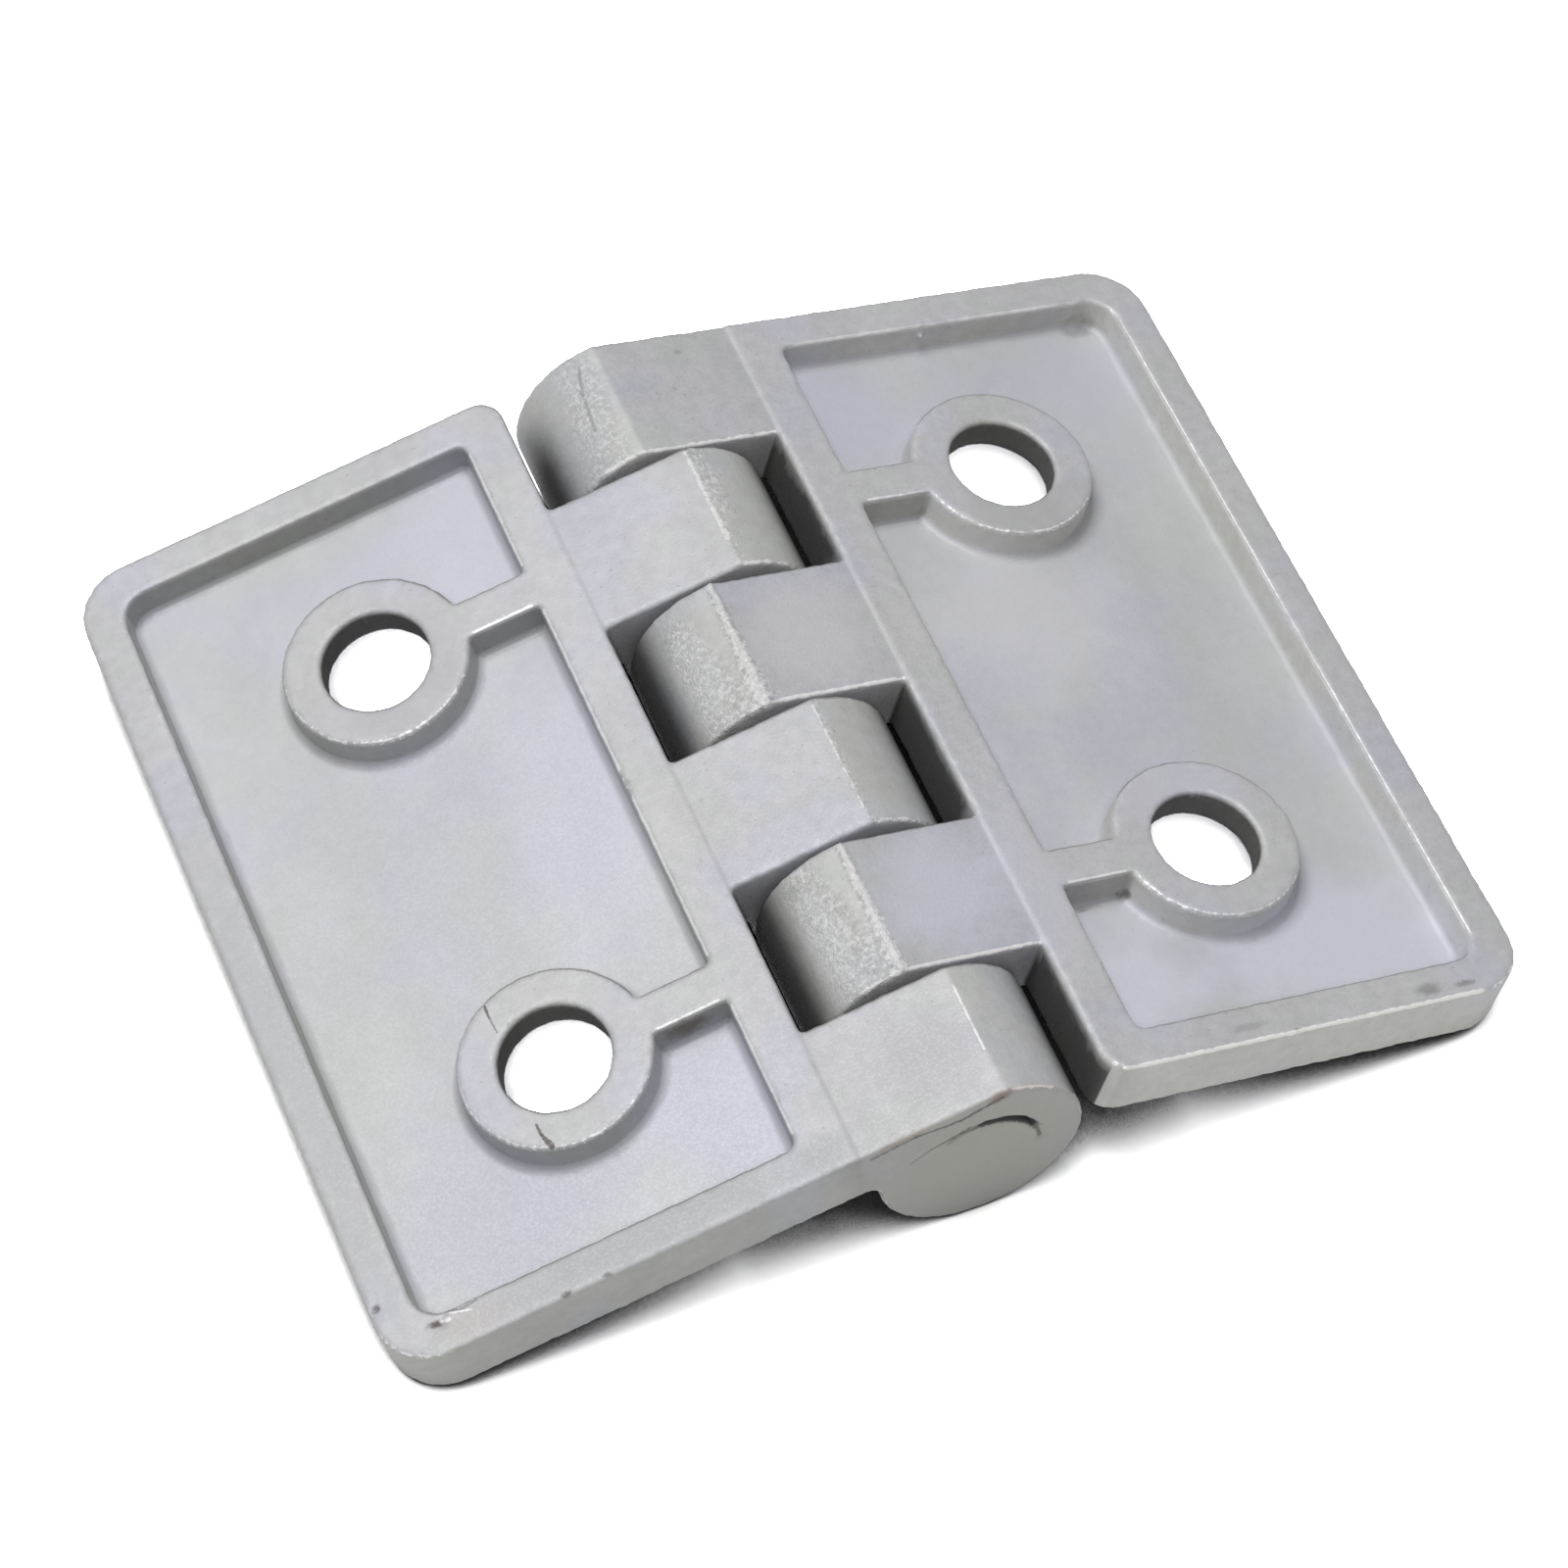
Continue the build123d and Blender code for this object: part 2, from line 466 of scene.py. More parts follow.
@dataclass(frozen=True)
class CastZinc:
    """Bare die-cast zinc, matt and finely grained, its corners rubbed bright in places, with painted highlights on
    the corners that face the camera and painted shade in its holes, slots and grooves and on the corners that face
    away.
    """

    name: str
    side: Side
    sag: float
    pin_height: float
    rim_tone: Tone = (0.53, 0.53, 0.545)
    floor_tone: Tone = (0.54, 0.543, 0.565)
    flat_tone: Tone = (0.55, 0.55, 0.57)
    round_tone: Tone = (0.52, 0.525, 0.52)
    wall_tone: Tone = (0.52, 0.525, 0.505)
    # Near-white tone of rubbed corners and of the painted highlights on them, and of the bright grain flecks.
    wear_and_highlight_tone: Tone = (0.92, 0.92, 0.93)
    # Dark tone of pores, dark grain flecks and corner grime, and of the painted shade on corners that face away from
    # the camera.
    grime_and_shade_tone: Tone = (0.26, 0.25, 0.24)
    # Near-black tone of the painted shade in holes, slots and grooves.
    painted_shade_tone: Tone = (0.03, 0.03, 0.03)
    cool_tint: Tone = (0.98, 0.985, 1.045)
    warm_tint: Tone = (0.99, 1.0, 0.965)
    grain_size: float = 0.22
    roughness: float = 0.6
    stains: tuple[Stain, ...] = ()
    lines: tuple[Line, ...] = ()

    def build(self) -> bpy.types.Material:
        """Makes the material.

        Returns:
            The finished material.
        """
        material = bpy.data.materials.new(self.name)
        material.use_nodes = True
        material.node_tree.nodes.clear()
        bench = NodeBench(material.node_tree)
        coordinates = bench.add("ShaderNodeTexCoord")
        place = bench.add("ShaderNodeMapping", {"vector_type": "TEXTURE"}, Vector=coordinates.outputs["Object"])
        place.inputs["Location"].default_value = (0.0, 0.0, self.pin_height)
        place.inputs["Rotation"].default_value = (0.0, self.sag, self.side.value)
        place.inputs["Scale"].default_value = (MILLIMETRE,) * 3
        where = place.outputs["Vector"]
        grain = add_group(bench, EffectGroup.GRAIN, Place=where, Size=self.grain_size)
        # Rubbed corners with painted highlight: a ragged bright line on the ridges that face the camera.
        wear = add_group(bench, EffectGroup.WEAR, Place=where, Edge=self.mask(bench, "worn"), Raggedness=0.5)
        grime = add_group(bench, EffectGroup.GRIME, Place=where, Hollow=self.mask(bench, "hollow"))
        zones = {zone: self.zone_mask(bench, where, zone) for zone in Zone}
        calm = bench.math("SUBTRACT", 1.0, bench.math("MULTIPLY", zones[Zone.POCKET_FLOOR], 0.6))
        colour = self.colour(bench, where, zones, calm, grain, wear, grime)
        # Painted shade: hole walls, slots, grooves, pocket walls, end faces and the bore's crescent are darkened
        # where shade falls.
        painted_shade_share = bench.math("MULTIPLY", self.mask(bench, "painted_shade"), 0.9)
        colour = bench.blend(painted_shade_share, colour, (*self.painted_shade_tone, 1.0))
        rough = bench.math("MULTIPLY_ADD", grain.outputs["Grain"], 0.16, self.roughness - 0.08)
        rough = bench.math("MULTIPLY_ADD", wear.outputs["Wear"], -0.14, rough)
        rough = bench.math("MULTIPLY_ADD", grime.outputs["Grime"], 0.2, rough)
        shader = bench.add("ShaderNodeBsdfPrincipled", Base_Color=colour, Roughness=rough)
        shader.inputs["Metallic"].default_value = 0.25
        bench.feed(shader.inputs["Normal"], self.relief(bench, where, zones, calm, grain))
        output = bench.add("ShaderNodeOutputMaterial")
        bench.feed(output.inputs["Surface"], shader.outputs["BSDF"])
        return material

    def mask(self, bench: NodeBench, name: str) -> bpy.types.NodeSocket:
        """Reads one of the masks that the leaf's mesh keeps.

        Args:
            bench: The bench of the material's tree.
            name: The mask's name.

        Returns:
            The mask.
        """
        return bench.add("ShaderNodeAttribute", {"attribute_name": name}).outputs["Fac"]

    def zone_mask(self, bench: NodeBench, where: bpy.types.NodeSocket, zone: Zone) -> bpy.types.NodeSocket:
        """Marks one zone of the casting.

        Args:
            bench: The bench of the material's tree.
            where: The bench position in millimetres.
            zone: The zone to mark.

        Returns:
            A mask, 1 inside the zone.
        """
        axes = bench.add("ShaderNodeSeparateXYZ", Vector=where)
        centre, half = zone.value
        bands = [bench.math("COMPARE", axes.outputs[k], centre[k], half[k]) for k in range(3)]
        return bench.math("MULTIPLY", bench.math("MULTIPLY", bands[0], bands[1]), bands[2])

    def colour(
        self,
        bench: NodeBench,
        where: bpy.types.NodeSocket,
        zones: dict[Zone, bpy.types.NodeSocket],
        calm: bpy.types.NodeSocket,
        grain: bpy.types.Node,
        wear: bpy.types.Node,
        grime: bpy.types.Node,
    ) -> bpy.types.NodeSocket:
        """Mixes the casting's colour.

        Args:
            bench: The bench of the material's tree.
            where: The bench position in millimetres.
            zones: The mask of each zone.
            calm: How strongly the grain shows.
            grain: The grain group.
            wear: The group that marks rubbed corners with their painted highlights.
            grime: The grime group.

        Returns:
            The colour.
        """
        tones = {
            Zone.POCKET_FLOOR: self.floor_tone,
            Zone.KNUCKLE_FLAT: self.flat_tone,
            Zone.KNUCKLE_ROUND: self.round_tone,
        }
        colour = (*self.rim_tone, 1.0)
        colour = bench.blend(self.mask(bench, "wall"), colour, (*self.wall_tone, 1.0))
        for zone, tone in tones.items():
            colour = bench.blend(zones[zone], colour, (*tone, 1.0))
        stretched = bench.add("ShaderNodeMapping", Vector=where)
        stretched.inputs["Scale"].default_value = (1.0, 0.45, 1.0)
        broad = bench.noise(stretched.outputs["Vector"], 6.0, 3.0)
        clouding = bench.ramp(broad, 0.3, 0.7, 0.96, 1.035)
        colour = bench.blend(1.0, colour, clouding, "MULTIPLY")
        patches = bench.noise(where, 9.0, 2.5)
        cool = bench.ramp(patches, 0.47, 0.64)
        warm = bench.ramp(patches, 0.5, 0.36)
        colour = bench.blend(cool, colour, bench.blend(1.0, colour, (*self.cool_tint, 1.0), "MULTIPLY"))
        colour = bench.blend(warm, colour, bench.blend(1.0, colour, (*self.warm_tint, 1.0), "MULTIPLY"))
        mottle = bench.ramp(bench.noise(where, 1.1, 4.0), 0.3, 0.7, -0.04, 0.04)
        mottle = bench.math("MULTIPLY_ADD", mottle, calm, 1.0)
        colour = bench.blend(1.0, colour, mottle, "MULTIPLY")
        depth = bench.math("MULTIPLY", calm, 0.06)
        speck = bench.math("MULTIPLY_ADD", bench.math("SUBTRACT", grain.outputs["Grain"], 0.5), depth, 1.0)
        colour = bench.blend(1.0, colour, speck, "MULTIPLY")
        pores = bench.math("MULTIPLY", bench.math("MULTIPLY", grain.outputs["Pores"], calm), 0.35)
        colour = bench.blend(pores, colour, (*self.grime_and_shade_tone, 1.0))
        for stain in self.stains:
            spot = add_group(
                bench, EffectGroup.SPOT, Place=where, Centre=stain.centre, Reach=stain.reach, Grain=stain.grain
            )
            share = bench.math("MULTIPLY", spot.outputs["Spot"], stain.strength)
            colour = bench.blend(share, colour, (*stain.tone, 1.0))
        dull = bench.math("MULTIPLY", grime.outputs["Grime"], 0.35)
        colour = bench.blend(dull, colour, (*self.grime_and_shade_tone, 1.0))
        # Painted highlight, partly rubbed metal, on the corners that face the camera.
        bright = bench.math("MULTIPLY", wear.outputs["Wear"], 0.8)
        colour = bench.blend(bright, colour, (*self.wear_and_highlight_tone, 1.0))
        # Painted shade: a dark ragged line on the corners that face away from the camera.
        painted_far_edge_shade = add_group(bench, EffectGroup.WEAR, Place=where, Edge=self.mask(bench, "painted_far_edge_shade"), Raggedness=0.3)
        dark = bench.math("MULTIPLY", painted_far_edge_shade.outputs["Wear"], 0.7)
        colour = bench.blend(dark, colour, (*self.grime_and_shade_tone, 1.0))
        coarse = self.mask(bench, "coarse")
        crystals = bench.noise(where, 0.42, 5.0)
        for low, high, tone, share in ((0.46, 0.66, self.wear_and_highlight_tone, 0.55), (0.46, 0.34, self.grime_and_shade_tone, 0.25)):
            flecks = bench.math("MULTIPLY", bench.ramp(crystals, low, high), coarse)
            colour = bench.blend(bench.math("MULTIPLY", flecks, share), colour, (*tone, 1.0))
        for line in self.lines:
            mark = add_group(
                bench,
                EffectGroup.LINE,
                Place=where,
                Start=line.start,
                Run=tuple(np.subtract(line.end, line.start)),
                Width=line.width,
                Widening=line.widening,
                Raggedness=line.raggedness,
                Grain=line.grain,
            )
            share = bench.math("MULTIPLY", mark.outputs["Line"], line.strength)
            colour = bench.blend(share, colour, (*line.tone, 1.0))
        return colour

    def relief(
        self,
        bench: NodeBench,
        where: bpy.types.NodeSocket,
        zones: dict[Zone, bpy.types.NodeSocket],
        calm: bpy.types.NodeSocket,
        grain: bpy.types.Node,
    ) -> bpy.types.NodeSocket:
        """Makes the small relief of the cast skin.

        Args:
            bench: The bench of the material's tree.
            where: The bench position in millimetres.
            zones: The mask of each zone; not used.
            calm: How strongly the grain shows.
            grain: The grain group.

        Returns:
            The normal.
        """
        skin = bench.math("MULTIPLY", bench.noise(where, 1.4, 2.0), 0.4)
        height = bench.math("MULTIPLY_ADD", grain.outputs["Grain"], calm, skin)
        strength = bench.math("MULTIPLY_ADD", self.mask(bench, "coarse"), 1.2, 0.22)
        height = bench.math("MULTIPLY", height, strength)
        bump = bench.add("ShaderNodeBump", Height=height)
        bump.inputs["Distance"].default_value = 0.04 * MILLIMETRE
        bump.inputs["Strength"].default_value = 1.0
        return bump.outputs["Normal"]


@dataclass(frozen=True)
class PinSteel:
    """Plain dull steel, turned and cropped."""

    name: str
    tone: Tone = (0.40, 0.40, 0.385)
    roughness: float = 0.5

    def build(self) -> bpy.types.Material:
        """Makes the material.

        Returns:
            The finished material.
        """
        material = bpy.data.materials.new(self.name)
        material.use_nodes = True
        material.node_tree.nodes.clear()
        bench = NodeBench(material.node_tree)
        coordinates = bench.add("ShaderNodeTexCoord")
        place = bench.add("ShaderNodeMapping", {"vector_type": "TEXTURE"}, Vector=coordinates.outputs["Object"])
        place.inputs["Scale"].default_value = (MILLIMETRE,) * 3
        where = place.outputs["Vector"]
        grain = add_group(bench, EffectGroup.GRAIN, Place=where, Size=0.35)
        broad = bench.ramp(bench.noise(where, 2.5, 3.0), 0.3, 0.7, 0.85, 1.08)
        colour = bench.blend(1.0, (*self.tone, 1.0), broad, "MULTIPLY")
        dots = bench.math("MULTIPLY", grain.outputs["Pores"], 0.4)
        colour = bench.blend(dots, colour, (0.15, 0.145, 0.14, 1.0))
        rough = bench.math("MULTIPLY_ADD", grain.outputs["Grain"], 0.15, self.roughness - 0.07)
        shader = bench.add("ShaderNodeBsdfPrincipled", Base_Color=colour, Roughness=rough)
        shader.inputs["Metallic"].default_value = 0.6
        bump = bench.add("ShaderNodeBump", Height=grain.outputs["Grain"])
        bump.inputs["Distance"].default_value = 0.02 * MILLIMETRE
        bench.feed(shader.inputs["Normal"], bump.outputs["Normal"])
        output = bench.add("ShaderNodeOutputMaterial")
        bench.feed(output.inputs["Surface"], shader.outputs["BSDF"])
        return material


BARREL_RADIUS = 8.1
# Near-white tone of the painted highlight lines on edges, creases and beside the pit, partly rubbed metal.
BRIGHT: Tone = (0.9, 0.88, 0.88)
# Dark tone of cracks and mould lines, and of the painted shade along the gap round the plug.
CRACK_AND_GAP_SHADE: Tone = (0.2, 0.2, 0.2)


def on_barrel(angle: float, y: float) -> Point:
    """Finds a point on the barrel.

    Args:
        angle: Degrees from the back towards the far side of the barrel.
        y: The place along the pin.

    Returns:
        The point, in bench millimetres.
    """
    turn = math.radians(angle)
    return (-BARREL_RADIUS * math.sin(turn), y, BARREL_RADIUS * math.cos(turn))


def arc_lines(y: float, angles: tuple[float, ...], **looks: object) -> tuple[Line, ...]:
    """Draws a line round the barrel in short runs.

    Args:
        y: The place along the pin.
        angles: The angles of its corners, in degrees.
        **looks: The line's width, tone and strength.

    Returns:
        The runs.
    """
    corners = [on_barrel(angle, y) for angle in angles]
    return tuple(Line(start, end, **looks) for start, end in zip(corners, corners[1:]))


# The pieces


@dataclass(frozen=True)
class Burr:
    """A thin raised line of metal left by the mould along an edge, in bench millimetres."""

    start: Point
    end: Point
    radius: float


@dataclass(frozen=True)
class Dent:
    """A small hollow in the casting, as centre and half sizes in bench millimetres."""

    centre: Point
    reach: Point


@dataclass(frozen=True)
class Band:
    """A band of coarse bright grain that may widen towards its end, in bench millimetres."""

    start: Point
    end: Point
    width: float
    strength: float
    widening: float = 0.0


@dataclass(frozen=True)
class Plug:
    """Metal beaten over the end of the pin, off centre, so that a crescent of the bore stays open."""

    shift: tuple[float, float]
    radius: float = 5.1
    outer: float = 37.49
    inner: float = 36.2


LAVENDER: Tone = (0.56, 0.565, 0.65)
SOOT: Tone = (0.12, 0.11, 0.10)
LEFT_STAINS = (
    Stain((16.0, -28.0, 5.0), (9.0, 9.0, 3.0), LAVENDER, 0.7, 4.0),
    Stain((16.0, 26.0, 5.0), (8.0, 10.0, 3.0), LAVENDER, 0.6, 4.0),
    Stain((34.0, 27.0, 5.0), (11.0, 9.0, 3.0), (0.50, 0.515, 0.59), 0.6, 4.0),
    Stain((15.5, 0.0, 5.0), (7.0, 16.0, 3.0), LAVENDER, 0.5, 4.0),
    Stain((27.0, 1.0, 5.0), (7.0, 13.0, 3.0), (0.50, 0.505, 0.50), 0.45, 4.0),
    Stain((25.4, -17.5, 7.6), (8.5, 9.0, 0.8), (0.46, 0.45, 0.465), 0.75, 3.0),
    Stain((1.0, 32.0, 7.45), (5.0, 6.0, 0.8), (0.46, 0.46, 0.475), 0.65, 3.0),
    Stain((24.0, 35.8, 7.6), (22.0, 2.6, 0.8), (0.43, 0.435, 0.445), 0.85, 3.0),
    Stain((43.4, 10.0, 7.6), (2.4, 30.0, 0.8), (0.47, 0.475, 0.485), 0.7, 3.0),
    Stain((38.5, 36.0, 7.6), (3.5, 1.4, 0.6), (0.50, 0.47, 0.46), 0.6, 1.0),
    Stain((-0.5, 37.5, 0.0), (14.0, 0.5, 12.0), (0.53, 0.535, 0.475), 0.8, 5.0),
    Stain((15.6, 20.9, 6.3), (2.6, 0.6, 1.3), (0.17, 0.14, 0.10), 0.8),
    Stain((41.0, 34.95, 7.5), (0.75, 0.4, 0.6), (0.10, 0.07, 0.06), 0.9, 0.3),
    Stain((44.45, 31.8, 7.6), (0.4, 0.4, 0.5), SOOT, 0.85, 0.25),
    Stain((31.5, 37.2, 7.5), (0.6, 0.3, 0.5), SOOT, 0.75, 0.25),
    Stain((28.3, 37.2, 7.5), (0.5, 0.25, 0.5), SOOT, 0.65, 0.25),
    Stain((-2.7, 37.4, 7.0), (1.2, 0.5, 0.8), (0.30, 0.19, 0.15), 0.6),
    Stain((5.0, 37.4, 7.3), (2.5, 0.4, 0.5), (0.46, 0.36, 0.28), 0.45),
)
RIGHT_STAINS = (
    Stain((33.0, -29.0, 5.0), (14.0, 9.0, 3.0), (0.66, 0.665, 0.76), 0.75, 4.0),
    Stain((15.0, -29.0, 5.0), (8.0, 7.0, 3.0), (0.66, 0.665, 0.76), 0.7, 4.0),
    Stain((16.0, 28.0, 5.0), (9.0, 8.0, 3.0), LAVENDER, 0.6, 4.0),
    Stain((37.0, 28.0, 5.0), (8.0, 8.0, 3.0), (0.56, 0.565, 0.64), 0.6, 4.0),
    Stain((22.0, 6.0, 5.0), (11.0, 10.0, 3.0), (0.64, 0.64, 0.67), 0.65, 4.0),
    Stain((25.4, 15.5, 7.6), (8.0, 7.0, 0.8), (0.43, 0.43, 0.44), 0.7, 3.0),
    Stain((25.4, -15.0, 7.6), (8.5, 8.0, 0.8), (0.57, 0.57, 0.625), 0.6, 3.0),
    Stain((10.2, -20.0, 7.6), (2.6, 11.0, 0.8), (0.56, 0.56, 0.62), 0.6, 3.0),
    Stain((2.5, 6.4, 7.45), (7.0, 7.0, 0.8), (0.58, 0.575, 0.60), 0.7, 3.0),
    Stain((3.0, -19.2, 7.5), (8.0, 7.0, 0.8), (0.57, 0.58, 0.66), 0.8, 4.0),
    Stain(on_barrel(54.0, 5.0), (2.4, 7.0, 2.8), (0.68, 0.68, 0.695), 0.6, 1.5),
    Stain(on_barrel(53.0, -20.0), (2.4, 7.0, 2.8), (0.70, 0.70, 0.72), 0.6, 1.5),
    Stain((3.5, 35.4, 7.45), (0.5, 0.35, 0.4), (0.30, 0.28, 0.28), 0.6, 0.4),
    Stain((39.6, 33.4, 5.6), (2.0, 1.0, 1.6), (0.20, 0.20, 0.20), 0.6, 1.0),
    Stain((36.2, -36.3, 7.6), (1.5, 0.8, 0.5), (0.25, 0.25, 0.25), 0.7, 0.6),
    Stain((20.6, -36.2, 7.6), (2.0, 0.5, 0.5), (0.36, 0.36, 0.37), 0.65, 0.6),
    Stain((39.4, -36.5, 7.6), (1.3, 0.4, 0.5), (0.22, 0.22, 0.22), 0.65, 0.25),
    Stain((17.8, -21.4, 5.3), (1.0, 0.5, 0.7), (0.12, 0.115, 0.10), 0.85),
    Stain((14.0, -21.6, 5.0), (2.6, 0.35, 0.4), (0.15, 0.14, 0.12), 0.6),
)
# Scratches and marks, with painted highlight lines in the bright tones and painted shade along the plug's gap.
LEFT_LINES = (
    Line((28.54, 12.2, 7.6), (28.56, 13.8, 7.6), 0.17, SOOT, 0.85, -0.03, 1.4, 0.3),
    Line((28.56, 13.8, 7.6), (28.47, 15.3, 7.6), 0.13, CRACK_AND_GAP_SHADE, 0.7, -0.04, 1.4, 0.3),
    Line((28.59, 23.7, 7.6), (28.56, 24.7, 7.6), 0.14, SOOT, 0.85, 0.04, 1.4, 0.3),
    Line((28.56, 24.7, 7.6), (28.21, 25.9, 7.6), 0.18, SOOT, 0.9, 0.14, 1.4, 0.3),
    Line((7.66, 37.5, 6.8), (4.1, 37.5, 7.0), 0.18, (0.20, 0.18, 0.17), 0.75, 0.0, 1.6),
    Line((4.1, 37.5, 7.0), (0.7, 37.5, 6.4), 0.20, (0.20, 0.18, 0.17), 0.8, 0.04, 1.6),
    Line((0.7, 37.5, 6.4), (-2.74, 37.5, 6.9), 0.24, (0.16, 0.14, 0.13), 0.85, 0.0, 1.6),
    # Painted shade: dark lines along the open gap between the plug and the bore at the near end.
    Line((5.2, 37.5, 3.5), (3.4, 37.5, 4.2), 0.10, CRACK_AND_GAP_SHADE, 0.7, 0.04),
    Line((3.4, 37.5, 4.2), (0.3, 37.5, 4.75), 0.14, CRACK_AND_GAP_SHADE, 0.8, 0.08),
    Line((0.3, 37.5, 4.75), (-1.3, 37.5, 4.45), 0.2, CRACK_AND_GAP_SHADE, 0.6, 0.0),
    Line((-4.1, 37.5, 1.6), (-4.9, 37.5, 0.2), 0.24, CRACK_AND_GAP_SHADE, 0.6, -0.16),
    Line((40.0, 34.25, 7.5), (38.9, 34.8, 7.6), 0.14, CRACK_AND_GAP_SHADE, 0.7, 0.0, 2.0, 0.3),
    Line((38.9, 34.8, 7.6), (37.6, 34.55, 7.6), 0.14, CRACK_AND_GAP_SHADE, 0.7, 0.0, 2.0, 0.3),
    Line((40.5, 34.9, 7.6), (40.0, 35.1, 7.6), 0.28, BRIGHT, 0.9, 0.0, 1.4, 0.3),
    Line((39.8, 34.6, 7.6), (38.2, 35.1, 7.6), 0.10, BRIGHT, 0.7, 0.0, 2.0, 0.3),
    Line((37.9, -33.5, 5.1), (25.3, -33.2, 5.1), 0.12, BRIGHT, 0.55, 0.0, 2.2, 0.8),
    Line((-3.15, 27.7, 7.45), (-3.1, 33.5, 7.45), 0.13, BRIGHT, 0.75, 0.0, 1.6, 0.6),
    Line((-3.2, -25.0, 7.45), (-3.2, -15.9, 7.45), 0.16, BRIGHT, 0.5, 0.1, 2.2, 0.5),
    Line((-3.2, 1.0, 7.45), (-3.2, 12.0, 7.45), 0.12, BRIGHT, 0.45, 0.0, 2.2, 0.5),
    *arc_lines(37.38, (27.0, 36.0, 45.0, 54.0), width=0.22, tone=(1.0, 0.88, 0.84), strength=0.9),
    *arc_lines(12.4, (26.0, 36.0, 46.0, 56.0), width=0.2, tone=BRIGHT, strength=0.75, raggedness=1.6),
    *arc_lines(-13.2, (24.0, 36.0, 46.0, 56.0), width=0.2, tone=BRIGHT, strength=0.75, raggedness=1.6),
)
# Scratches and mould lines, with painted highlight lines in the bright tones along edges and creases.
RIGHT_LINES = (
    Line((9.5, -37.4, 7.45), (40.5, -37.4, 7.45), 0.24, (1.0, 0.99, 0.97), 0.9, 0.0, 1.0),
    Line((13.2, 34.15, 7.5), (39.8, 34.15, 7.5), 0.16, BRIGHT, 0.8, 0.0, 1.6, 0.8),
    Line((41.85, 33.0, 7.5), (41.85, -20.0, 7.5), 0.14, BRIGHT, 0.7, 0.0, 1.8, 0.8),
    Line(on_barrel(24.5, 12.3), on_barrel(25.5, 0.5), 0.24, BRIGHT, 0.55, 0.5, 2.6, 0.5),
    Line(on_barrel(24.0, -13.3), on_barrel(24.0, -25.0), 0.28, BRIGHT, 0.6, 0.35, 2.6, 0.5),
    Line(on_barrel(35.5, 36.0), on_barrel(40.0, 33.5), 0.16, CRACK_AND_GAP_SHADE, 0.45, 0.05, 2.6),
    Line(on_barrel(40.0, 33.5), on_barrel(43.0, 30.0), 0.18, CRACK_AND_GAP_SHADE, 0.4, 0.0, 2.6),
    Line((-3.1, 26.0, 7.36), (8.2, 26.0, 7.36), 0.2, BRIGHT, 0.8, 0.0, 1.6),
    Line((-3.1, 0.4, 7.36), (8.2, 0.4, 7.36), 0.2, BRIGHT, 0.8, 0.0, 1.6),
    Line((-3.1, -25.2, 7.36), (8.2, -25.2, 7.36), 0.2, BRIGHT, 0.8, 0.0, 1.6),
    *arc_lines(26.0, (24.0, 36.0, 48.0), width=0.24, tone=BRIGHT, strength=0.8, raggedness=1.6),
    *arc_lines(0.4, (24.0, 36.0, 46.0), width=0.2, tone=BRIGHT, strength=0.6, raggedness=1.8),
    *arc_lines(-25.2, (24.0, 36.0, 50.0), width=0.22, tone=BRIGHT, strength=0.75, raggedness=1.6),
)
LEFT_BANDS = (
    Band(on_barrel(25.0, -13.3), on_barrel(25.0, -25.2), 0.5, 0.5),
    Band(on_barrel(25.0, 0.4), on_barrel(25.0, 12.4), 0.4, 0.5),
    Band(on_barrel(28.0, -25.2), on_barrel(30.0, -19.0), 1.2, 0.7),
)
RIGHT_BANDS = (
    Band(on_barrel(25.0, 12.3), on_barrel(25.0, 0.5), 0.4, 1.0, 0.9),
    Band(on_barrel(25.0, -13.3), on_barrel(25.0, -25.0), 0.4, 1.0, 0.6),
    Band(on_barrel(54.0, 10.0), on_barrel(45.0, 1.0), 1.8, 0.8, 1.6),
    Band(on_barrel(52.0, -14.5), on_barrel(42.0, -24.0), 2.2, 0.75, 1.6),
    Band(on_barrel(38.0, 36.0), on_barrel(44.0, 27.0), 2.4, 0.6, 0.6),
)


